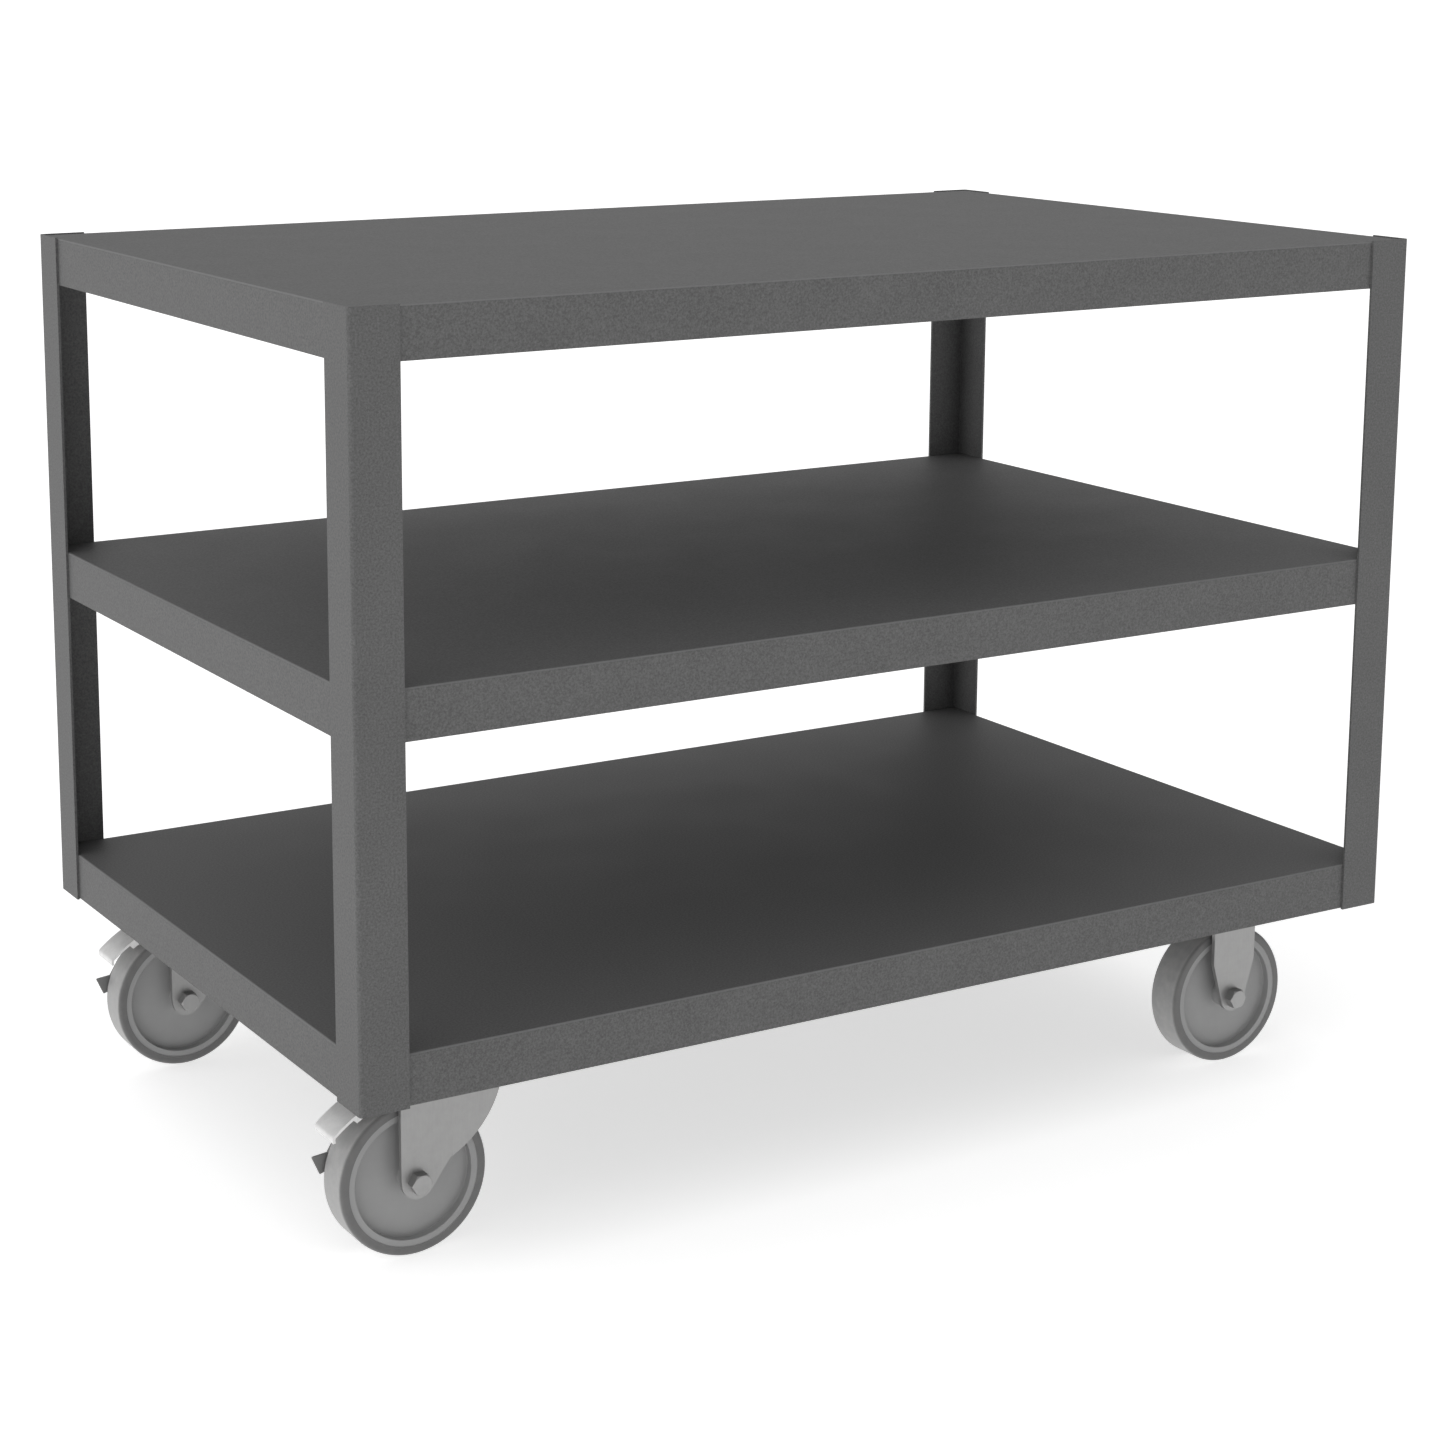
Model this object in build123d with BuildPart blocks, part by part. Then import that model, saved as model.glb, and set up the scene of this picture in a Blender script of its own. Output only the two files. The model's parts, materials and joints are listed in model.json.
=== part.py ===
from build123d import *
import math
import os

# Rolling utility cart: three steel pan shelves welded between four bent angle posts,
# on two braked swivel casters at the -X end and two rigid casters at the +X end.
# Origin: floor level under the middle of the cart. +X runs along the length towards the
# rigid casters, +Y across the width, +Z up. Millimetres.

os.makedirs("parts", exist_ok=True)

INCH = 25.4

# ---- frame ----
cart_length = 48.125 * INCH
cart_width = 30.25 * INCH
caster_height = 7.25 * INCH
shelf_pitch = 13.25 * INCH
lip_depth = 49.0
deck_gauge = 1.9
deck_bend = 2.4
post_leg = 49.2
post_gauge = 2.66
post_bend = 3.8
post_above_deck = 1.0
post_below_lip = 1.5
channel_width = 120.0
channel_gauge = 2.66
channel_bend = 4.0
channel_end_gap = 0.6
bead_width = 1.7
bead_height = 1.4
bead_corner_gap = 7.0
bead_end_gap = 4.0

# ---- casters ----
caster_x = 477.0
caster_y = 282.3
swivel_offset = 41.3
wheel_radius = 3.0 * INCH
tread_half = 19.2
tread_round = 4.0
rim_radius = 66.8
rim_bore = 60.4
rim_half = 18.7
web_half = 10.3
hub_radius = 14.2
fork_inner_half = 23.5
leg_gauge = 4.8
fork_outer_half = fork_inner_half + leg_gauge
hub_half = fork_inner_half - 0.3

plate_length = 4.5 * INCH
plate_width = 4.0 * INCH
plate_gauge = 4.76
plate_corner = 9.0
bolt_spacing_x = 3.625 * INCH
bolt_spacing_y = 2.625 * INCH

caster_bolt_radius = 4.76
caster_bolt_hole = 5.2
caster_bolt_flats = 14.3
caster_bolt_head = 6.0
caster_nut_height = 8.3
caster_bolt_tail = 2.5

axle_radius = 6.3
axle_flats = 0.75 * INCH
axle_head = 9.8
axle_nut_height = 11.1
axle_tail = 2.0
sleeve_inner = 6.35
sleeve_outer = 8.7
bearing_inner = 8.75
bearing_outer = 12.3
thread_gap = 0.02
hexagon_turned = 0.96
hexagon_slope = 0.58

# Swivel raceway, measured from the swivel axis.
crown_radius = 41.0
crown_gauge = 4.8
crown_bore = 9.0
skirt_height = 8.0
skirt_gauge = 3.0
upper_ball_radius = 3.175
upper_pitch_radius = 30.0
upper_ball_count = 24
lower_ball_radius = 2.38
lower_pitch_radius = 16.0
lower_ball_count = 16
race_inner = 24.0
race_outer = 36.0
race_drop = 2.4
race_gap = 5.2
crown_weld_lap = 1.0
lower_ball_seat = 0.4
cap_groove_depth = 1.7
ball_seat_gap = 0.05
ball_run_gap = 0.3
cap_inner = 6.45
cap_outer = 21.0
cap_gauge = 2.4
kingpin_radius = 6.35
kingpin_head_radius = 10.0
kingpin_head_height = 2.5
kingpin_nut_flats = 19.0
kingpin_nut_height = 7.9
kingpin_tail = 1.2

# Swivel fork side outline, measured from the axle.
leg_end_radius = 17.0
leg_rear = 17.5
leg_knee = (33.0, 16.5)
leg_sweep = (63.0, 41.0)
leg_front = (86.0, 90.0)
leg_crease = 36.0
leg_flare = 6.0

# Rigid fork side outline, measured from the axle.
rigid_half = 28.5
rigid_taper_height = 41.0
rigid_end_radius = 16.0

# Brake, measured from the axle.
pivot_x = -10.0
pivot_z = 85.2
brake_pin_radius = 3.15
brake_pin_hole = 3.2
brake_pin_head_radius = 5.5
brake_pin_head = 2.0
pedal_bore = 3.25
pedal_gauge = 2.5
pedal_start = (-17.0, 90.0)
pedal_heading = 193.9
pedal_radius = 153.0
pedal_arc = 26.8
pedal_toe_radius = 4.0
pedal_toe_arc = 55.0
pedal_toe_length = 3.0
pedal_half = 20.0
pedal_yoke_half = 23.0
pedal_yoke_length = 16.0
ear_inner_half = 20.5
ear_radius = 7.0
pedal_travel = 9.0
shoe_gap = 1.0
shoe_half = 15.0
shoe_from = 118.0
shoe_to = 131.0
spring_radius = 4.6
spring_wire = 0.6
spring_pitch = 1.7
spring_length = 13.6
release_outline = (
    (-12.0, 80.0),
    (-31.0, 85.5),
    (-46.0, 58.0),
    (-60.0, 42.0),
    (-70.0, 25.5),
    (-86.0, 23.8),
    (-78.0, 6.0),
    (-66.0, 10.0),
    (-54.0, 31.0),
    (-38.0, 49.0),
    (-20.0, 68.0),
)
release_tip = release_outline[5]
release_tip_round = 1.2

# ---- levels worked out from the driving sizes ----
lip_bottom = caster_height
bottom_deck = lip_bottom + lip_depth
middle_deck = bottom_deck + shelf_pitch
top_deck = middle_deck + shelf_pitch
post_bottom = lip_bottom - post_below_lip
post_top = top_deck + post_above_deck
half_length = cart_length / 2
half_width = cart_width / 2
pan_half_length = half_length - post_gauge
pan_half_width = half_width - post_gauge
axle_z = wheel_radius
swivel_axle_x = -caster_x - swivel_offset
plate_bottom = caster_height - plate_gauge
crown_top = plate_bottom - race_drop - race_gap
crown_bottom = crown_top - crown_gauge
leg_top = crown_bottom + crown_weld_lap
upper_ball_z = (plate_bottom - race_drop + crown_top) / 2
lower_ball_z = crown_bottom - lower_ball_radius + lower_ball_seat
cap_top = lower_ball_z - cap_groove_depth
cap_bottom = cap_top - cap_gauge

# The two caster ends: name, position of the wheels along Y.
sides = (("front", -caster_y), ("back", caster_y))


def save(piece, name):
    """Label a finished piece and write its STEP file."""
    piece.part.label = name
    export_step(piece.part, f"parts/{name}.step")


def side_plane(x, y, z):
    """A plane facing -Y: its first direction is +X and its second is +Z."""
    return Plane(origin=(x, y, z), x_dir=(1, 0, 0), z_dir=(0, -1, 0))


def nearest(vertices, across, along):
    """The corner of a sketch closest to a point of its plane."""
    return vertices.sort_by_distance((across, along, 0))[0]


def add_hexagon(at, across_flats, height):
    """A hexagon standing on a plane, its outer corners turned down. It starts a piece."""
    corner = across_flats / math.sqrt(3)
    turned = across_flats / 2 * hexagon_turned
    drop = (corner - turned) * hexagon_slope
    with BuildSketch(at) as outline:
        RegularPolygon(radius=across_flats / 2, side_count=6, major_radius=False)
    extrude(outline.sketch, amount=height)
    with BuildSketch(Plane(origin=at.origin, x_dir=at.x_dir, z_dir=-at.y_dir)) as envelope:
        with BuildLine():
            Polyline((0, 0), (corner, 0), (corner, height - drop), (turned, height), (0, height), close=True)
        make_face()
    revolve(envelope.sketch, axis=Axis(at.origin, at.z_dir), mode=Mode.INTERSECT)


def add_rod(at, radius, length, mode=Mode.ADD):
    """A round rod standing on a plane."""
    with BuildSketch(at) as disc:
        Circle(radius)
    extrude(disc.sketch, amount=length, mode=mode)


def cut_ball_groove(x, y, z, pitch_radius, groove_radius):
    """A ring-shaped groove about a vertical axis."""
    with BuildSketch(side_plane(x, y, z)) as groove:
        with Locations((pitch_radius, 0)):
            Circle(groove_radius)
    revolve(groove.sketch, axis=Axis((x, y, z), (0, 0, 1)), mode=Mode.SUBTRACT)


# ---- posts: bent angles outside the corners of the shelves ----
corners = (
    ("post_front_left", -1, -1),
    ("post_front_right", 1, -1),
    ("post_back_left", -1, 1),
    ("post_back_right", 1, 1),
)


def make_post(name, side_x, side_y):
    """One angle post with a rounded heel."""
    inset = post_leg / 2
    with BuildPart() as post:
        with BuildSketch(Plane.XY.offset(post_bottom)) as plan:
            with Locations((side_x * (half_length - inset), side_y * (half_width - inset))):
                Rectangle(post_leg, post_leg)
            with Locations((side_x * (pan_half_length - inset), side_y * (pan_half_width - inset))):
                Rectangle(post_leg, post_leg, mode=Mode.SUBTRACT)
            fillet(nearest(plan.vertices(), side_x * half_length, side_y * half_width), post_bend)
            root = nearest(plan.vertices(), side_x * pan_half_length, side_y * pan_half_width)
            fillet(root, post_bend - post_gauge)
        extrude(amount=post_top - post_bottom)
    save(post, name)


for post_name, post_side_x, post_side_y in corners:
    make_post(post_name, post_side_x, post_side_y)


# ---- shelves: flat decks with their edges bent down ----
def make_shelf(name, deck_top):
    """One pan shelf, open underneath."""
    inner_bend = deck_bend - deck_gauge
    lip_middle = deck_top - lip_depth / 2
    with BuildPart() as shelf:
        with Locations((0, 0, lip_middle)):
            Box(2 * pan_half_length, 2 * pan_half_width, lip_depth)
        fillet(shelf.edges().filter_by(Axis.Z) + shelf.edges().group_by(Axis.Z)[-1], deck_bend)
        with BuildPart(mode=Mode.PRIVATE) as hollow:
            with Locations((0, 0, lip_middle - deck_gauge)):
                Box(2 * (pan_half_length - deck_gauge), 2 * (pan_half_width - deck_gauge), lip_depth)
            fillet(hollow.edges().filter_by(Axis.Z) + hollow.edges().group_by(Axis.Z)[-1], inner_bend)
        add(hollow.part, mode=Mode.SUBTRACT)
    save(shelf, name)


shelf_levels = {"shelf_top": top_deck, "shelf_middle": middle_deck, "shelf_bottom": bottom_deck}
for shelf_name, shelf_level in shelf_levels.items():
    make_shelf(shelf_name, shelf_level)

# ---- weld beads: under each lip's edge, along the inside of the post flanges ----
bead_length = post_leg - post_gauge - bead_corner_gap - bead_end_gap
with BuildPart() as weld_beads:
    for level in shelf_levels.values():
        lip_edge = level - lip_depth
        for _, side_x, side_y in corners:
            face_x = side_x * pan_half_length
            start_y = side_y * (pan_half_width - bead_corner_gap)
            end_bead = Plane(origin=(face_x, start_y, lip_edge), x_dir=(-side_x, 0, 0), z_dir=(0, side_x, 0))
            with BuildSketch(end_bead):
                with BuildLine():
                    Polyline((0, 0), (bead_width, 0), (0, -bead_height), close=True)
                make_face()
            extrude(amount=-side_x * side_y * bead_length)
            face_y = side_y * pan_half_width
            start_x = side_x * (pan_half_length - bead_corner_gap)
            side_bead = Plane(origin=(start_x, face_y, lip_edge), x_dir=(0, -side_y, 0), z_dir=(-side_y, 0, 0))
            with BuildSketch(side_bead):
                with BuildLine():
                    Polyline((0, 0), (bead_width, 0), (0, -bead_height), close=True)
                make_face()
            extrude(amount=side_x * side_y * bead_length)
save(weld_beads, "weld_beads")


# ---- caster channels: across the cart under the bottom deck ----
def caster_centres(x):
    """Bolt positions of the two casters at one end."""
    spots = []
    for _, y in sides:
        for bolt_x in (-bolt_spacing_x / 2, bolt_spacing_x / 2):
            for bolt_y in (-bolt_spacing_y / 2, bolt_spacing_y / 2):
                spots.append((x + bolt_x, y + bolt_y))
    return spots


def make_channel(name, x):
    """One channel, web down, its flanges against the deck's underside."""
    channel_length = 2 * (pan_half_width - deck_gauge - channel_end_gap)
    channel_height = bottom_deck - deck_gauge - lip_bottom
    half = channel_width / 2
    inner = half - channel_gauge
    with BuildPart() as channel:
        with BuildSketch(side_plane(x, channel_length / 2, lip_bottom)) as section:
            with Locations((0, channel_height / 2)):
                Rectangle(channel_width, channel_height)
            with Locations((0, channel_gauge + channel_height / 2)):
                Rectangle(2 * inner, channel_height, mode=Mode.SUBTRACT)
            for side in (-1, 1):
                fillet(nearest(section.vertices(), side * half, 0), channel_bend)
                fillet(nearest(section.vertices(), side * inner, channel_gauge), channel_bend - channel_gauge)
        extrude(amount=channel_length)
        with BuildSketch(Plane.XY.offset(lip_bottom)):
            with Locations(*caster_centres(x)):
                Circle(caster_bolt_hole)
        extrude(amount=channel_gauge, mode=Mode.SUBTRACT)
    save(channel, name)


make_channel("caster_channel_left", -caster_x)
make_channel("caster_channel_right", caster_x)

# ---- caster bolts, heads under the plates, and their nuts inside the channels ----
bolt_spots = caster_centres(-caster_x) + caster_centres(caster_x)
bolt_length = plate_gauge + channel_gauge + caster_nut_height + caster_bolt_tail
with BuildPart() as one_bolt:
    add_hexagon(Plane.XY.rotated((180, 0, 0)), caster_bolt_flats, caster_bolt_head)
    add_rod(Plane.XY, caster_bolt_radius, bolt_length)
with BuildPart() as one_nut:
    add_hexagon(Plane.XY, caster_bolt_flats, caster_nut_height)
    add_rod(Plane.XY, caster_bolt_radius + thread_gap, caster_nut_height, Mode.SUBTRACT)
with BuildPart() as caster_bolts:
    with Locations(*[(x, y, plate_bottom) for x, y in bolt_spots]):
        add(one_bolt.part)
save(caster_bolts, "caster_bolts")
with BuildPart() as caster_nuts:
    with Locations(*[(x, y, lip_bottom + channel_gauge) for x, y in bolt_spots]):
        add(one_nut.part)
save(caster_nuts, "caster_nuts")


# ---- what every caster has: wheel, bearing, sleeve, axle bolt and nut ----
def make_wheel(end, x, y):
    """Wheel core, tyre, bearing, sleeve, axle bolt and axle nut about an axle along Y."""
    axle = Axis((x, y, axle_z), (0, 1, 0))
    middle = Plane(origin=(x, y, axle_z), x_dir=(0, 0, 1), z_dir=(-1, 0, 0))
    with BuildPart() as core:
        with BuildSketch(middle):
            with BuildLine():
                Polyline(
                    (bearing_outer, -hub_half),
                    (hub_radius, -hub_half),
                    (hub_radius, -web_half),
                    (rim_bore, -web_half),
                    (rim_bore, -rim_half),
                    (rim_radius, -rim_half),
                    (rim_radius, rim_half),
                    (rim_bore, rim_half),
                    (rim_bore, web_half),
                    (hub_radius, web_half),
                    (hub_radius, hub_half),
                    (bearing_outer, hub_half),
                    close=True,
                )
            make_face()
        revolve(axis=axle)
        round_edges = core.edges().filter_by(GeomType.CIRCLE)
        fillet(round_edges.filter_by(lambda edge: abs(edge.radius - rim_bore) < 0.1), 0.8)
    save(core, f"wheel_core_{end}")
    with BuildPart() as tyre:
        with BuildSketch(middle) as section:
            with Locations(((rim_radius + wheel_radius) / 2, 0)):
                Rectangle(wheel_radius - rim_radius, 2 * tread_half)
            shoulders = section.vertices().group_by(Axis.X)[-1]
            fillet(shoulders, tread_round)
        revolve(axis=axle)
    save(tyre, f"tyre_{end}")
    with BuildPart() as bearing:
        with BuildSketch(side_plane(x, y, axle_z)):
            Circle(bearing_outer)
            Circle(bearing_inner, mode=Mode.SUBTRACT)
        extrude(amount=hub_half, both=True)
    save(bearing, f"wheel_bearing_{end}")
    with BuildPart() as sleeve:
        with BuildSketch(side_plane(x, y, axle_z)):
            Circle(sleeve_outer)
            Circle(sleeve_inner, mode=Mode.SUBTRACT)
        extrude(amount=fork_inner_half, both=True)
    save(sleeve, f"axle_sleeve_{end}")
    bolt_reach = 2 * fork_outer_half + axle_nut_height + axle_tail
    head_face = side_plane(x, y - fork_outer_half, axle_z)
    nut_face = Plane(origin=(x, y + fork_outer_half, axle_z), x_dir=(1, 0, 0), z_dir=(0, 1, 0))
    with BuildPart() as bolt:
        add_hexagon(head_face, axle_flats, axle_head)
        add_rod(head_face, axle_radius, -bolt_reach)
    save(bolt, f"axle_bolt_{end}")
    with BuildPart() as nut:
        add_hexagon(nut_face, axle_flats, axle_nut_height)
        add_rod(nut_face, axle_radius + thread_gap, axle_nut_height, Mode.SUBTRACT)
    save(nut, f"axle_nut_{end}")


def add_plate(x, y):
    """The four-bolt top plate of a caster."""
    with BuildSketch(Plane.XY.offset(plate_bottom)) as outline:
        with Locations((x, y)):
            RectangleRounded(plate_length, plate_width, plate_corner)
            with GridLocations(bolt_spacing_x, bolt_spacing_y, 2, 2):
                Circle(caster_bolt_hole, mode=Mode.SUBTRACT)
    extrude(outline.sketch, amount=plate_gauge)


# ---- rigid casters ----
def make_rigid_fork(end, x, y):
    """A plate with a bent U of flat legs that taper to round ends."""
    height = plate_bottom - axle_z
    end_angle = math.degrees(math.atan2(rigid_taper_height, rigid_half))
    reach = math.hypot(rigid_taper_height, rigid_half)
    tangent_angle = math.radians(end_angle - math.degrees(math.acos(rigid_end_radius / reach)))
    tangent_x = rigid_end_radius * math.cos(tangent_angle)
    tangent_z = rigid_end_radius * math.sin(tangent_angle)
    with BuildPart() as fork:
        with BuildSketch(side_plane(x, y, axle_z)):
            with BuildLine():
                Line((-rigid_half, height), (rigid_half, height))
                Line((rigid_half, height), (rigid_half, rigid_taper_height))
                Line((rigid_half, rigid_taper_height), (tangent_x, tangent_z))
                ThreePointArc((tangent_x, tangent_z), (0, -rigid_end_radius), (-tangent_x, tangent_z))
                Line((-tangent_x, tangent_z), (-rigid_half, rigid_taper_height))
                Line((-rigid_half, rigid_taper_height), (-rigid_half, height))
            make_face()
        extrude(amount=fork_outer_half, both=True)
        crown_edges = fork.edges().filter_by(Axis.X).group_by(Axis.Z)[-1]
        fillet(crown_edges, leg_gauge + 2.0)
        with BuildPart(mode=Mode.PRIVATE) as gap:
            gap_height = height - leg_gauge + 2 * rigid_end_radius
            with Locations((x, y, axle_z + height - leg_gauge - gap_height / 2)):
                Box(4 * rigid_half, 2 * fork_inner_half, gap_height)
            fillet(gap.edges().filter_by(Axis.X).group_by(Axis.Z)[-1], 2.0)
        add(gap.part, mode=Mode.SUBTRACT)
        add_rod(side_plane(x, y + fork_outer_half, axle_z), sleeve_inner, 2 * fork_outer_half, Mode.SUBTRACT)
        add_plate(x, y)
    save(fork, f"rigid_fork_{end}")


# ---- swivel casters ----
def make_swivel_top(end, x, y):
    """Plate with its raceway, kingpin, lower race cap and kingpin nut, which don't turn."""
    race_bottom = plate_bottom - race_drop
    with BuildPart() as plate:
        add_plate(x, y)
        with BuildSketch(Plane.XY.offset(race_bottom)):
            with Locations((x, y)):
                Circle(race_outer)
                Circle(race_inner, mode=Mode.SUBTRACT)
        extrude(amount=race_drop)
        pin_seat = Plane(origin=(x, y, caster_height - kingpin_head_height))
        add_rod(pin_seat, kingpin_head_radius + thread_gap, kingpin_head_height, Mode.SUBTRACT)
        add_rod(Plane(origin=(x, y, race_bottom)), kingpin_radius + thread_gap, plate_gauge, Mode.SUBTRACT)
        cut_ball_groove(x, y, upper_ball_z, upper_pitch_radius, upper_ball_radius + ball_run_gap)
    save(plate, f"swivel_plate_{end}")
    pin_bottom = cap_bottom - kingpin_nut_height - kingpin_tail
    with BuildPart() as kingpin:
        add_rod(Plane(origin=(x, y, pin_bottom)), kingpin_radius, caster_height - pin_bottom)
        add_rod(pin_seat, kingpin_head_radius, kingpin_head_height)
        chamfer(kingpin.edges().group_by(Axis.Z)[0], 0.8)
    save(kingpin, f"kingpin_{end}")
    with BuildPart() as cap:
        with BuildSketch(Plane.XY.offset(cap_bottom)):
            with Locations((x, y)):
                Circle(cap_outer)
                Circle(cap_inner, mode=Mode.SUBTRACT)
        extrude(amount=cap_gauge)
        cut_ball_groove(x, y, lower_ball_z, lower_pitch_radius, lower_ball_radius + ball_run_gap)
    save(cap, f"race_cap_{end}")
    with BuildPart() as nut:
        nut_top = Plane(origin=(x, y, cap_bottom), x_dir=(1, 0, 0), z_dir=(0, 0, -1))
        add_hexagon(nut_top, kingpin_nut_flats, kingpin_nut_height)
        add_rod(nut_top, kingpin_radius + thread_gap, kingpin_nut_height, Mode.SUBTRACT)
    save(nut, f"kingpin_nut_{end}")


def make_balls(name, x, y, z, pitch_radius, ball_radius, count):
    """A ring of loose bearing balls."""
    with BuildPart() as balls:
        with Locations((x, y, z)):
            with PolarLocations(pitch_radius, count):
                Sphere(ball_radius)
    save(balls, name)


def make_swivel_fork(end, x, y):
    """Crown with a rolled skirt, and two legs that sweep back to the axle."""
    axle_x = x - swivel_offset
    top = leg_top - axle_z
    knee_angle = math.atan2(leg_knee[1], leg_knee[0])
    knee_reach = math.hypot(*leg_knee)
    tangent_angle = knee_angle - math.acos(leg_end_radius / knee_reach)
    tangent = (leg_end_radius * math.cos(tangent_angle), leg_end_radius * math.sin(tangent_angle))
    flare_length = leg_front[0] + 4.0 - leg_crease
    flare_rise = flare_length * math.tan(math.radians(leg_flare))
    with BuildPart() as fork:
        with BuildSketch(side_plane(axle_x, y, axle_z)):
            with BuildLine():
                Line((-leg_rear, top), (leg_front[0], top))
                Line((leg_front[0], top), leg_front)
                ThreePointArc(leg_front, leg_sweep, leg_knee)
                Line(leg_knee, tangent)
                ThreePointArc(tangent, (0, -leg_end_radius), (-leg_end_radius, 0))
                Line((-leg_end_radius, 0), (-leg_rear, 4.0))
                Line((-leg_rear, 4.0), (-leg_rear, top))
            make_face()
        extrude(amount=2 * fork_outer_half, both=True)
        with BuildSketch(Plane.XY.offset(axle_z - 2 * leg_end_radius)):
            for side in (-1, 1):
                with BuildLine():
                    Polyline(
                        (axle_x - 2 * leg_rear, y + side * fork_inner_half),
                        (axle_x + leg_crease, y + side * fork_inner_half),
                        (axle_x + leg_crease + flare_length, y + side * (fork_inner_half + flare_rise)),
                        (axle_x + leg_crease + flare_length, y + side * (fork_outer_half + flare_rise)),
                        (axle_x + leg_crease, y + side * fork_outer_half),
                        (axle_x - 2 * leg_rear, y + side * fork_outer_half),
                        close=True,
                    )
                make_face()
        extrude(amount=plate_bottom, mode=Mode.INTERSECT)
        with BuildSketch(Plane.XY.offset(crown_top - skirt_height)):
            with Locations((x, y)):
                Circle(crown_radius)
        extrude(amount=skirt_height)
        fillet(fork.edges().group_by(Axis.Z)[-1], 2.4)
        with BuildSketch(Plane.XY.offset(crown_top - skirt_height)):
            with Locations((x, y)):
                Circle(crown_radius - skirt_gauge)
                for side in (-1, 1):
                    with Locations((0, side * (fork_inner_half + 3 * leg_gauge))):
                        Rectangle(4 * crown_radius, 6 * leg_gauge, mode=Mode.SUBTRACT)
        extrude(amount=skirt_height - crown_gauge, mode=Mode.SUBTRACT)
        add_rod(Plane(origin=(x, y, crown_bottom)), crown_bore, crown_gauge, Mode.SUBTRACT)
        cut_ball_groove(x, y, upper_ball_z, upper_pitch_radius, upper_ball_radius + ball_seat_gap)
        cut_ball_groove(x, y, lower_ball_z, lower_pitch_radius, lower_ball_radius + ball_seat_gap)
        axle_plane = side_plane(axle_x, y + 2 * fork_outer_half, axle_z)
        add_rod(axle_plane, sleeve_inner, 4 * fork_outer_half, Mode.SUBTRACT)
        pin_plane = side_plane(axle_x + pivot_x, y + 2 * fork_outer_half, axle_z + pivot_z)
        add_rod(pin_plane, brake_pin_hole, 4 * fork_outer_half, Mode.SUBTRACT)
    save(fork, f"swivel_fork_{end}")


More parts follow.
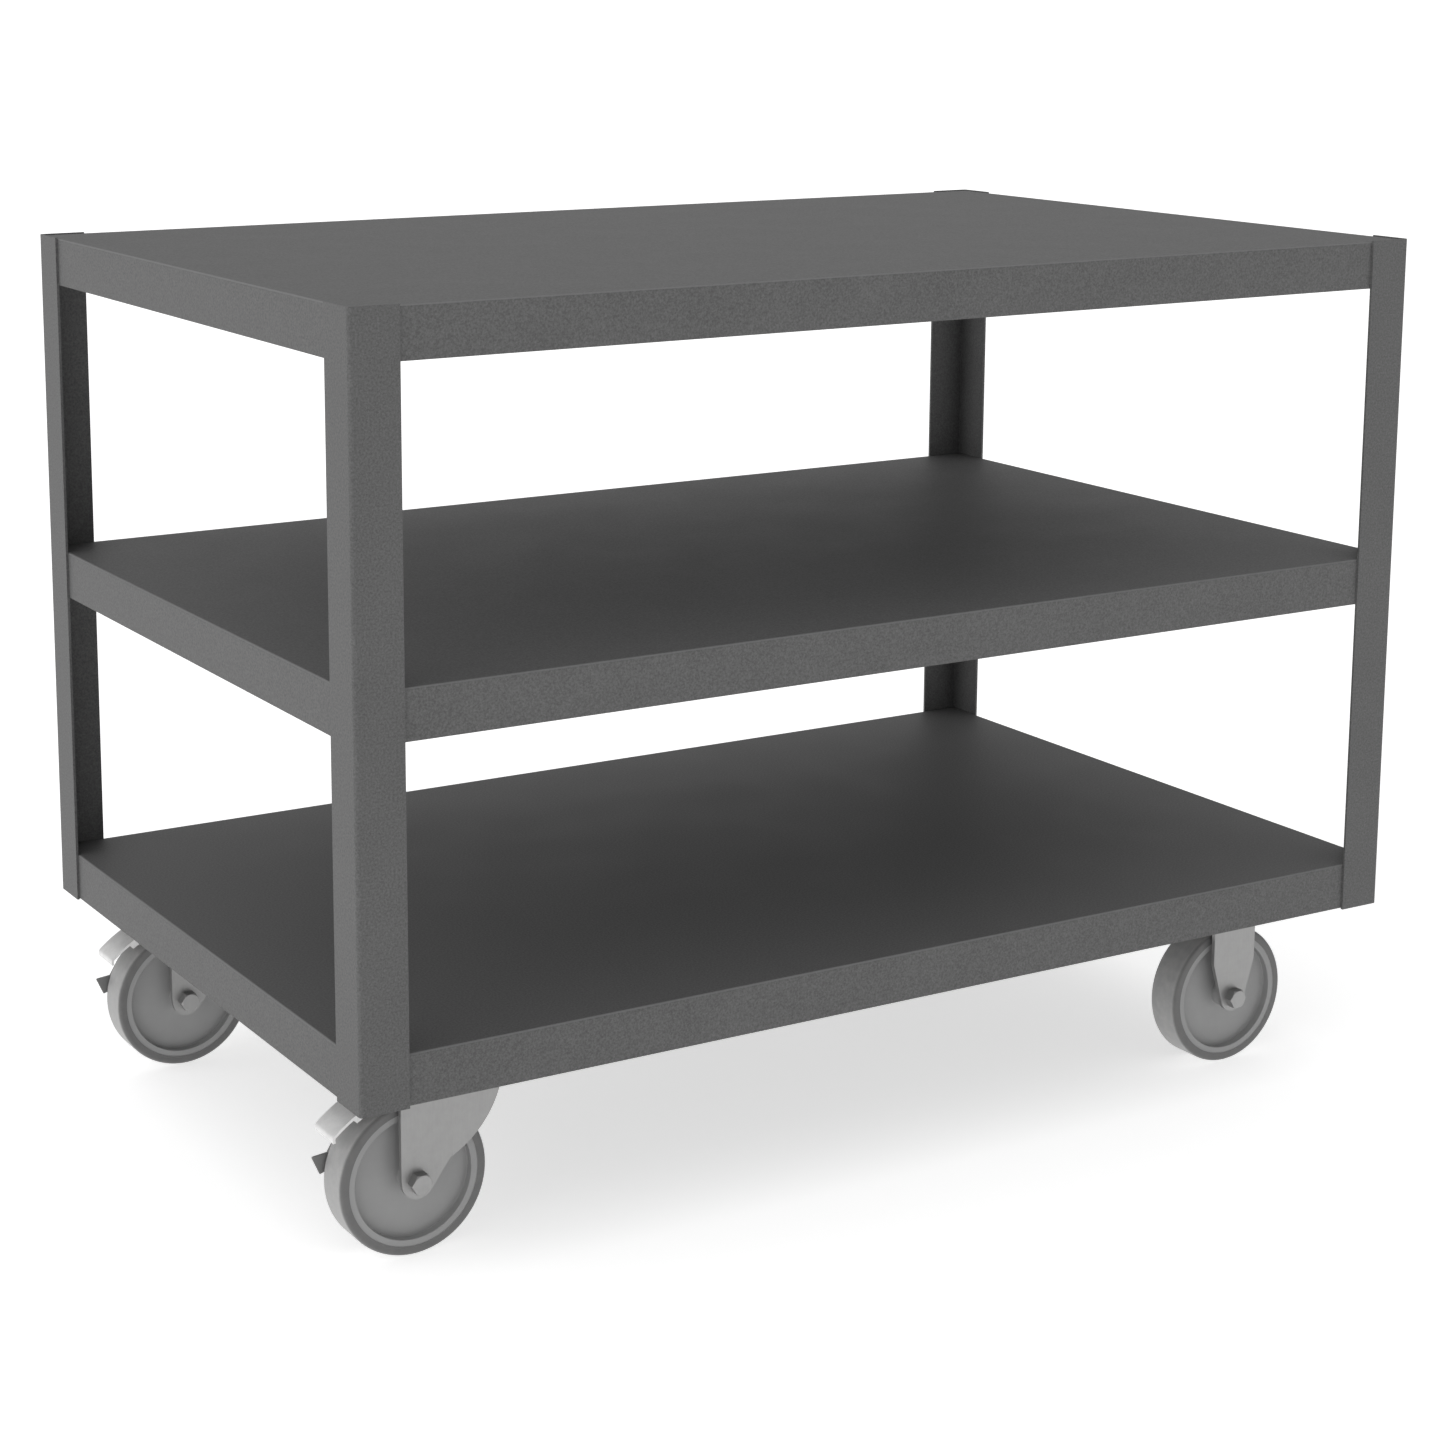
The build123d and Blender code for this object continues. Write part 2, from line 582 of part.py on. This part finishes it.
def make_brake(end, x, y):
    """Foot pedal over the tread with a brake shoe and a release toe, its pin and its spring."""
    axle_x = x - swivel_offset
    middle = side_plane(axle_x, y, axle_z)
    heading = (math.cos(math.radians(pedal_heading)), math.sin(math.radians(pedal_heading)))
    strap_centre = (pedal_start[0] - pedal_radius * heading[1], pedal_start[1] + pedal_radius * heading[0])
    # The shoe's face is concentric with the tread once the pedal is pressed, so at rest its
    # centre is the axle turned back about the pivot by the pedal's travel.
    turn_cos, turn_sin = math.cos(math.radians(pedal_travel)), math.sin(math.radians(pedal_travel))
    shoe_centre = (
        pivot_x - pivot_x * turn_cos - pivot_z * turn_sin,
        pivot_z + pivot_x * turn_sin - pivot_z * turn_cos,
    )
    with BuildPart() as pedal:
        with BuildSketch(middle):
            with BuildLine():
                tread_arc = JernArc(pedal_start, heading, pedal_radius, pedal_arc)
                toe_arc = JernArc(tread_arc @ 1, tread_arc % 1, pedal_toe_radius, pedal_toe_arc)
                Line(toe_arc @ 1, toe_arc @ 1 + (toe_arc % 1) * pedal_toe_length)
            trace(line_width=pedal_gauge)
        extrude(amount=pedal_half, both=True)
        with BuildSketch(middle):
            with BuildLine():
                yoke_arc = JernArc(
                    pedal_start, heading, pedal_radius, math.degrees(pedal_yoke_length / pedal_radius)
                )
            trace(line_width=pedal_gauge)
        extrude(amount=pedal_yoke_half, both=True)
        ear_end = yoke_arc @ 1
        ear_faces = (y + pedal_yoke_half, y - ear_inner_half)
        for plane in [side_plane(axle_x, ear_face, axle_z) for ear_face in ear_faces]:
            with BuildSketch(plane):
                with Locations((pivot_x, pivot_z)):
                    Circle(ear_radius)
                with Locations((pedal_start[0], pedal_start[1]), (ear_end.X, ear_end.Y)):
                    Circle(pedal_gauge / 2)
                make_hull()
            extrude(amount=pedal_yoke_half - ear_inner_half)
        with BuildSketch(side_plane(axle_x, y + pedal_yoke_half, axle_z)) as release:
            with BuildLine():
                Polyline(*release_outline, close=True)
            make_face()
            fillet(nearest(release.vertices(), *release_tip), release_tip_round)
        extrude(amount=pedal_yoke_half - ear_inner_half)
        with BuildSketch(middle):
            with Locations(strap_centre):
                Circle(pedal_radius)
            with Locations(shoe_centre):
                Circle(wheel_radius + shoe_gap, mode=Mode.SUBTRACT)
            with BuildLine():
                reach = 2 * wheel_radius
                Polyline(
                    (0, 0),
                    (reach * math.cos(math.radians(shoe_from)), reach * math.sin(math.radians(shoe_from))),
                    (reach * math.cos(math.radians(shoe_to)), reach * math.sin(math.radians(shoe_to))),
                    close=True,
                )
            make_face(mode=Mode.INTERSECT)
        extrude(amount=shoe_half, both=True)
        pin_plane = side_plane(axle_x + pivot_x, y + pedal_yoke_half + 1, axle_z + pivot_z)
        add_rod(pin_plane, pedal_bore, 2 * pedal_yoke_half + 2, Mode.SUBTRACT)
    save(pedal, f"brake_pedal_{end}")
    with BuildPart() as pin:
        pin_half = fork_outer_half + brake_pin_head
        pin_start = side_plane(axle_x + pivot_x, y + pin_half, axle_z + pivot_z)
        add_rod(pin_start, brake_pin_radius, 2 * pin_half)
        add_rod(pin_start, brake_pin_head_radius, brake_pin_head)
        add_rod(pin_start.offset(2 * pin_half - brake_pin_head), brake_pin_head_radius, brake_pin_head)
        rims = pin.edges().filter_by(GeomType.CIRCLE).group_by(Axis.Y)
        fillet(rims[0] + rims[-1], 0.8)
    save(pin, f"brake_pin_{end}")
    with BuildPart() as spring:
        coil_end = (axle_x + pivot_x, y + spring_length / 2, axle_z + pivot_z)
        with BuildLine() as coil:
            Helix(spring_pitch, spring_length, spring_radius, center=coil_end, direction=(0, -1, 0))
        with BuildSketch(Plane(origin=coil.line @ 0, z_dir=coil.line % 0)):
            Circle(spring_wire)
        sweep(path=coil.line, is_frenet=True)
    save(spring, f"brake_spring_{end}")


for end_name, end_y in sides:
    swivel_end = f"{end_name}_left"
    make_wheel(swivel_end, swivel_axle_x, end_y)
    make_swivel_top(swivel_end, -caster_x, end_y)
    make_balls(
        f"upper_balls_{swivel_end}",
        -caster_x,
        end_y,
        upper_ball_z,
        upper_pitch_radius,
        upper_ball_radius,
        upper_ball_count,
    )
    make_balls(
        f"lower_balls_{swivel_end}",
        -caster_x,
        end_y,
        lower_ball_z,
        lower_pitch_radius,
        lower_ball_radius,
        lower_ball_count,
    )
    make_swivel_fork(swivel_end, -caster_x, end_y)
    make_brake(swivel_end, -caster_x, end_y)
    rigid_end = f"{end_name}_right"
    make_wheel(rigid_end, caster_x, end_y)
    make_rigid_fork(rigid_end, caster_x, end_y)
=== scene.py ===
import json
import math

import bmesh
import bpy
from mathutils import Matrix, Vector


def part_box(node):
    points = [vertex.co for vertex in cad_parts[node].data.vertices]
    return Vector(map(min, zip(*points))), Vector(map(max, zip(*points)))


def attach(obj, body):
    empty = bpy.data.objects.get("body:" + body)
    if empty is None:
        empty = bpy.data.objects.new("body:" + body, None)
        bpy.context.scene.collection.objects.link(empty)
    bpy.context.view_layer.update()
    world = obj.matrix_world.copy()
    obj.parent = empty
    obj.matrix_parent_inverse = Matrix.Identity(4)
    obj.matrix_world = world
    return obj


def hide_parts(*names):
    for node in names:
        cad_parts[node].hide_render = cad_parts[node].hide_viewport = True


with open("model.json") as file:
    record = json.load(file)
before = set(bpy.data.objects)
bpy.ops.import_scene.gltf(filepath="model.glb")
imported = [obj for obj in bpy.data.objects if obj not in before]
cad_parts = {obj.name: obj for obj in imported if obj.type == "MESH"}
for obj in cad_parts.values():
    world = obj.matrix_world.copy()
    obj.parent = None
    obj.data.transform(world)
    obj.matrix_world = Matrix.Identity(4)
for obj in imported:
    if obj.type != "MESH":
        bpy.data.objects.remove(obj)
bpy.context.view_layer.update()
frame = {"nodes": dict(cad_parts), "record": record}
nodes = frame["nodes"]

MM = 0.001

# Powder coat: grain sizes in millimetres, and greys from its dark to its pale specks.
COAT_SPECKLE = 2.1
COAT_CLOUD = 70.0
COAT_DARK = 0.062
COAT_PALE = 0.138

# Painted highlight: over the shelves' bends the coat is painted paler, standing in for the light
# the bends catch.
BEND_HIGHLIGHT_GREY = 0.21
BEND_HIGHLIGHT_SHARE = 0.7

# Height below which the brake's release toe is dark grey and not metallic.
TOE_DARK_TOP = 0.124
TOE_DARK_EDGE = 1.5 * MM
TOE_DARK_GREY = 0.2

# Zinc plating: greys of the casters' steel, the brake strap, and the bolts, nuts and pins.
PLATE_GREY = 0.35
STRAP_GREY = 0.78
FASTENER_GREY = 0.34

# Wheels: the plastic's greys, then the tyre's on its sides and on its tread; the tread's greys
# are painted light, paler to stand in for the light it catches.
PLASTIC_GREYS = (0.285, 0.345)
TYRE_SIDE_GREYS = (0.135, 0.16)
LIT_TREAD_GREYS = (0.33, 0.4)

# Weld beads under the shelves' lips, along the inside of the posts.
POST_LEG = 49.2 * MM
POST_GAUGE = 2.66 * MM
BEAD_CORNER_GAP = 7.0 * MM
BEAD_END_GAP = 4.0 * MM
BEAD_WIDTH = 1.7 * MM
BEAD_HEIGHT = 1.4 * MM
BEAD_SIDES = 5
RIPPLE_LENGTH = 2.4 * MM
RIPPLE_SWELL = (0.8, 0.94, 1.0, 0.93)
TAIL_SWELL = RIPPLE_SWELL[0] / 2

# Studio: floor, sky and soft lights, each with its direction, strength and spread in degrees.
FLOOR_REACH = 300.0
FLOOR_GAP = 0.4 * MM
FLOOR_GREY = 0.9
FLOOR_GLOW = 0.56
SKY_LIGHT = 0.42
SKY_SEEN = 1.0
SUNS = (
    ("key_from_left", (0.96, 0.06, -0.33), 0.9, 70.0),
    ("overhead", (0.05, 0.1, -1.0), 0.6, 80.0),
    ("fill_from_behind", (-0.15, -0.9, -0.35), 0.25, 90.0),
)

# Camera: place, heading and tilt in degrees, lens in millimetres, and shift.
CAMERA_PLACE = (-1.669, -2.648, 1.199)
CAMERA_HEADING = 30.07
CAMERA_TILT = -10.52
CAMERA_LENS = 73.87
CAMERA_SENSOR = 36.0
CAMERA_SHIFT = (0.08, -0.15)
CAMERA_FAR = 1000.0


# ---- material building ----
class Finish:
    """A material under construction: its node tree and its main shader."""

    def __init__(self, name, level, roughness, metallic=0.0, specular=0.5):
        self.material = bpy.data.materials.new(name)
        self.material.use_nodes = True
        self.tree = self.material.node_tree
        self.shader = self.tree.nodes["Principled BSDF"]
        self.shader.inputs["Base Color"].default_value = grey(level)
        self.shader.inputs["Roughness"].default_value = roughness
        self.shader.inputs["Metallic"].default_value = metallic
        self.shader.inputs["Specular IOR Level"].default_value = specular
        coordinates = self.node("ShaderNodeTexCoord")
        self.place = coordinates.outputs["Object"]
        self.facing = coordinates.outputs["Normal"]
        self.height = None

    def node(self, kind, **sockets):
        """Adds a node. Values go to its sockets by name, and sockets are linked."""
        made = self.tree.nodes.new(kind)
        for name, value in sockets.items():
            self.feed(made.inputs[name.replace("_", " ")], value)
        return made

    def feed(self, socket, value):
        """Links a socket, or sets a plain value."""
        if isinstance(value, bpy.types.NodeSocket):
            self.tree.links.new(value, socket)
        else:
            socket.default_value = value

    def noise(self, grain, detail=2.0, roughness=0.5, stretch=(1.0, 1.0, 1.0)):
        """Noise whose grains are about the given size in millimetres."""
        place = self.place
        if stretch != (1.0, 1.0, 1.0):
            place = self.node("ShaderNodeMapping", Vector=place, Scale=stretch).outputs["Vector"]
        texture = self.node(
            "ShaderNodeTexNoise",
            Vector=place,
            Scale=1.0 / (grain * MM),
            Detail=detail,
            Roughness=roughness,
        )
        return texture.outputs["Fac"]

    def spread(self, value, low, high, to_low, to_high):
        """Maps a value from one range to another."""
        made = self.node("ShaderNodeMapRange", Value=value)
        made.inputs["From Min"].default_value = low
        made.inputs["From Max"].default_value = high
        made.inputs["To Min"].default_value = to_low
        made.inputs["To Max"].default_value = to_high
        return made.outputs["Result"]

    def tint(self, factor, dark, light):
        """A colour between two, by a factor."""
        made = self.tree.nodes.new("ShaderNodeMix")
        made.data_type = "RGBA"
        self.feed(made.inputs["Factor"], factor)
        colour_a, colour_b = [socket for socket in made.inputs if socket.type == "RGBA"]
        self.feed(colour_a, dark)
        self.feed(colour_b, light)
        return next(socket for socket in made.outputs if socket.type == "RGBA")

    def join(self, kind, first, second):
        """Arithmetic on two values."""
        made = self.tree.nodes.new("ShaderNodeMath")
        made.operation = kind
        self.feed(made.inputs[0], first)
        self.feed(made.inputs[1], second)
        return made.outputs["Value"]

    def part_of(self, vector, letter):
        """One component of a vector."""
        return self.node("ShaderNodeSeparateXYZ", Vector=vector).outputs[letter]

    def bump(self, height, depth):
        """Relief of the given depth in millimetres."""
        made = self.node("ShaderNodeBump", Height=height, Distance=depth * MM, Strength=1.0)
        if self.height is not None:
            self.feed(made.inputs["Normal"], self.height)
        self.height = made.outputs["Normal"]
        self.feed(self.shader.inputs["Normal"], self.height)


def grey(level, warm=0.0):
    """A near-neutral colour, with its alpha."""
    return (level * (1.0 + warm), level, level * (1.0 - warm), 1.0)


def powder_coat():
    """Fine-textured dark grey powder coat, with a painted highlight over the shelves' bends."""
    coat = Finish("powder_coat", (COAT_DARK + COAT_PALE) / 2, 0.6)
    speckle = coat.noise(COAT_SPECKLE, detail=3.0, roughness=0.7)
    cloud = coat.noise(COAT_CLOUD, detail=2.0)
    tone = coat.join(
        "ADD",
        coat.spread(speckle, 0.32, 0.68, -0.5, 0.5),
        coat.spread(cloud, 0.3, 0.7, -0.1, 0.1),
    )
    colour = coat.tint(coat.spread(tone, -0.6, 0.6, 0.0, 1.0), grey(COAT_DARK), grey(COAT_PALE))
    slope = coat.join("ABSOLUTE", coat.part_of(coat.facing, "Z"), 0.0)
    # Painted highlight: paler grey where the surface slopes between flat and upright, that is
    # over the bends.
    bend_highlight = coat.join(
        "MULTIPLY",
        coat.spread(slope, 0.25, 0.5, 0.0, 1.0),
        coat.spread(slope, 0.9, 0.98, 1.0, 0.0),
    )
    colour = coat.tint(coat.join("MULTIPLY", bend_highlight, BEND_HIGHLIGHT_SHARE), colour, grey(BEND_HIGHLIGHT_GREY))
    coat.feed(coat.shader.inputs["Base Color"], colour)
    coat.feed(coat.shader.inputs["Roughness"], coat.spread(cloud, 0.3, 0.7, 0.57, 0.63))
    coat.bump(coat.noise(0.9, detail=2.0), 0.05)
    coat.bump(coat.noise(3.0, detail=1.0), 0.09)
    return coat.material


def zinc(name, level, roughness, metallic=0.75, toe=False):
    """Zinc plating on steel: cloudy, faintly streaked. A brake's toe is dark grey and not
    metallic below a set height.
    """
    plate = Finish(name, level, roughness, metallic)
    cloud = plate.noise(11.0, detail=4.0, roughness=0.6)
    streak = plate.noise(1.0, detail=3.0, stretch=(1.0, 1.0, 0.06))
    tone = plate.join(
        "ADD",
        plate.spread(cloud, 0.3, 0.7, -0.5, 0.5),
        plate.spread(streak, 0.3, 0.7, -0.18, 0.18),
    )
    colour = plate.tint(
        plate.spread(tone, -0.7, 0.7, 0.0, 1.0),
        grey(level * 0.9, 0.005),
        grey(level * 1.08, 0.005),
    )
    if toe:
        # Below a set height the toe turns dark grey and not metallic.
        height = plate.part_of(plate.place, "Z")
        toe_dark = plate.spread(height, TOE_DARK_TOP, TOE_DARK_TOP - TOE_DARK_EDGE, 0.0, 1.0)
        colour = plate.tint(toe_dark, colour, grey(TOE_DARK_GREY))
        plate.feed(plate.shader.inputs["Metallic"], plate.spread(toe_dark, 0.0, 1.0, metallic, 0.0))
    plate.feed(plate.shader.inputs["Base Color"], colour)
    dull = plate.spread(cloud, 0.3, 0.7, roughness - 0.06, roughness + 0.07)
    plate.feed(plate.shader.inputs["Roughness"], dull)
    plate.bump(streak, 0.01)
    plate.bump(plate.noise(2.4, detail=2.0), 0.02)
    return plate.material


def bright_steel():
    """Ground bearing steel."""
    steel = Finish("bearing_steel", 0.56, 0.22, 1.0)
    rub = steel.noise(0.5, detail=3.0)
    steel.feed(steel.shader.inputs["Roughness"], steel.spread(rub, 0.3, 0.7, 0.16, 0.32))
    steel.bump(rub, 0.004)
    return steel.material


def wheel_plastic():
    """Moulded grey plastic with a fine spark-eroded grain."""
    plastic = Finish("wheel_plastic", 0.31, 0.5)
    grain = plastic.noise(0.6, detail=2.0)
    cloud = plastic.noise(22.0, detail=3.0)
    colour = plastic.tint(cloud, grey(PLASTIC_GREYS[0]), grey(PLASTIC_GREYS[1]))
    plastic.feed(plastic.shader.inputs["Base Color"], colour)
    plastic.feed(plastic.shader.inputs["Roughness"], plastic.spread(cloud, 0.3, 0.7, 0.42, 0.56))
    plastic.bump(grain, 0.02)
    return plastic.material


def tyre_rubber():
    """Smooth grey rubber, a little dusty, its tread painted paler than its sides as painted
    light.
    """
    rubber = Finish("tyre_rubber", 0.15, 0.5)
    dust = rubber.noise(9.0, detail=5.0, roughness=0.65)
    grain = rubber.noise(0.8, detail=2.0)
    dusty = rubber.spread(dust, 0.35, 0.7, 0.0, 1.0)
    side = rubber.tint(dusty, grey(TYRE_SIDE_GREYS[0]), grey(TYRE_SIDE_GREYS[1], 0.01))
    lit_tread = rubber.tint(dusty, grey(LIT_TREAD_GREYS[0]), grey(LIT_TREAD_GREYS[1], 0.01))
    # Painted light: the tread, facing away from the axle, is painted paler than the sides.
    sideways = rubber.join("ABSOLUTE", rubber.part_of(rubber.facing, "Y"), 0.0)
    colour = rubber.tint(rubber.spread(sideways, 0.2, 0.75, 0.0, 1.0), lit_tread, side)
    rubber.feed(rubber.shader.inputs["Base Color"], colour)
    rubber.feed(rubber.shader.inputs["Roughness"], rubber.spread(dust, 0.3, 0.7, 0.42, 0.6))
    rubber.bump(grain, 0.02)
    rubber.bump(dust, 0.03)
    return rubber.material


finishes = {
    "grey_powder_coat": powder_coat(),
    "zinc_plate": zinc("zinc_plate", PLATE_GREY, 0.42),
    "brake_steel": zinc("brake_zinc", STRAP_GREY, 0.4, 0.2, toe=True),
    "zinc_fastener": zinc("fastener_zinc", FASTENER_GREY, 0.36, 0.85),
    "bearing_steel": bright_steel(),
    "wheel_plastic": wheel_plastic(),
    "grey_tyre": tyre_rubber(),
}

for part in frame["record"]["subparts"]:
    mesh = nodes[part["node"]].data
    mesh.materials.clear()
    mesh.materials.append(finishes[part["material_slot"]])


# ---- weld beads ----
def rippled_bead(length):
    """One fillet bead along +Z, in the corner where the X and Y faces meet."""
    bead = bmesh.new()
    bead.verts.new((0.0, 0.0, 0.0))
    edge = bead.verts.new((1.0, 0.0, 0.0))
    bmesh.ops.spin(
        bead,
        geom=[edge],
        cent=(0.0, 0.0, 0.0),
        axis=(0.0, 0.0, 1.0),
        angle=math.radians(90.0),
        steps=BEAD_SIDES,
    )
    face = bead.faces.new(bead.verts)
    steps = round(length / RIPPLE_LENGTH) * len(RIPPLE_SWELL)
    swell = TAIL_SWELL
    bmesh.ops.scale(bead, vec=(BEAD_WIDTH * swell, BEAD_HEIGHT * swell, 1.0), verts=bead.verts)
    for step in range(1, steps + 1):
        wanted = RIPPLE_SWELL[step % len(RIPPLE_SWELL)]
        if step == steps:
            wanted = TAIL_SWELL
        region = [face, *face.edges, *face.verts]
        grown = bmesh.ops.extrude_face_region(bead, geom=region)
        face = next(part for part in grown["geom"] if isinstance(part, bmesh.types.BMFace))
        growth = wanted / swell
        bmesh.ops.scale(bead, vec=(growth, growth, 1.0), verts=face.verts)
        bmesh.ops.translate(bead, vec=(0.0, 0.0, length / steps), verts=face.verts)
        swell = wanted
    one = bpy.data.meshes.new("one_bead")
    bead.to_mesh(one)
    bead.free()
    return one


def lay_weld_beads():
    """Two beads at each post under each shelf's lip, as one piece."""
    one = rippled_bead(POST_LEG - POST_GAUGE - BEAD_CORNER_GAP - BEAD_END_GAP)
    welds = bmesh.new()
    for shelf in ("shelf_top", "shelf_middle", "shelf_bottom"):
        shelf_low, shelf_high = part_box(shelf)
        for side_x in (-1.0, 1.0):
            for side_y in (-1.0, 1.0):
                edge_x = shelf_high[0] * side_x
                edge_y = shelf_high[1] * side_y
                into_x = Vector((-side_x, 0.0, 0.0))
                into_y = Vector((0.0, -side_y, 0.0))
                corner = Vector((edge_x, edge_y, shelf_low[2]))
                for inward, along in ((into_x, into_y), (into_y, into_x)):
                    known = set(welds.verts)
                    welds.from_mesh(one)
                    laid = [vert for vert in welds.verts if vert not in known]
                    place = Matrix((inward, (0.0, 0.0, -1.0), along)).transposed().to_4x4()
                    place.translation = corner + along * BEAD_CORNER_GAP
                    bmesh.ops.transform(welds, matrix=place, verts=laid)
    bmesh.ops.recalc_face_normals(welds, faces=welds.faces)
    mesh = bpy.data.meshes.new("rippled_welds")
    welds.to_mesh(mesh)
    welds.free()
    mesh.shade_smooth()
    mesh.materials.append(finishes["grey_powder_coat"])
    beads = bpy.data.objects.new("rippled_welds", mesh)
    bpy.context.scene.collection.objects.link(beads)
    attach(beads, "frame")
    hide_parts("weld_beads")
    bpy.data.meshes.remove(one)


lay_weld_beads()

# ---- floor, light and camera ----
floor_mesh = bpy.data.meshes.new("floor")
sheet = bmesh.new()
bmesh.ops.create_grid(sheet, x_segments=1, y_segments=1, size=FLOOR_REACH)
bmesh.ops.translate(sheet, verts=sheet.verts, vec=(0.0, 0.0, -FLOOR_GAP))
sheet.to_mesh(floor_mesh)
sheet.free()
floor = bpy.data.objects.new("floor", floor_mesh)
bpy.context.scene.collection.objects.link(floor)
ground = Finish("floor_white", FLOOR_GREY, 0.9, 0.0, 0.0)
ground.shader.inputs["Emission Color"].default_value = grey(1.0)
ground.shader.inputs["Emission Strength"].default_value = FLOOR_GLOW
floor_mesh.materials.append(ground.material)

world = bpy.data.worlds.new("studio")
bpy.context.scene.world = world
world.use_nodes = True
sky = world.node_tree
backdrop = sky.nodes["Background"]
backdrop.inputs["Color"].default_value = grey(1.0)
seen = sky.nodes.new("ShaderNodeLightPath")
strength = sky.nodes.new("ShaderNodeMix")
strength.inputs["A"].default_value = SKY_LIGHT
strength.inputs["B"].default_value = SKY_SEEN
sky.links.new(seen.outputs["Is Camera Ray"], strength.inputs["Factor"])
sky.links.new(strength.outputs["Result"], backdrop.inputs["Strength"])


def add_sun(name, towards, strength, spread):
    """A soft light from far away, shining along a direction."""
    light = bpy.data.lights.new(name, "SUN")
    light.energy = strength
    light.angle = math.radians(spread)
    lamp = bpy.data.objects.new(name, light)
    lamp.rotation_mode = "QUATERNION"
    lamp.rotation_quaternion = Vector(towards).to_track_quat("-Z", "Y")
    bpy.context.scene.collection.objects.link(lamp)


for sun in SUNS:
    add_sun(*sun)

camera_data = bpy.data.cameras.new("camera")
camera = bpy.data.objects.new("camera", camera_data)
bpy.context.scene.collection.objects.link(camera)
bpy.context.scene.camera = camera
heading = math.radians(CAMERA_HEADING)
tilt = math.radians(CAMERA_TILT)
level_x = math.sin(heading) * math.cos(tilt)
level_y = math.cos(heading) * math.cos(tilt)
look = Vector((level_x, level_y, math.sin(tilt)))
camera.location = CAMERA_PLACE
camera.rotation_mode = "QUATERNION"
camera.rotation_quaternion = look.to_track_quat("-Z", "Y")
camera_data.lens = CAMERA_LENS
camera_data.sensor_width = CAMERA_SENSOR
camera_data.shift_x, camera_data.shift_y = CAMERA_SHIFT
camera_data.clip_end = CAMERA_FAR

bpy.context.scene.view_settings.view_transform = "Standard"
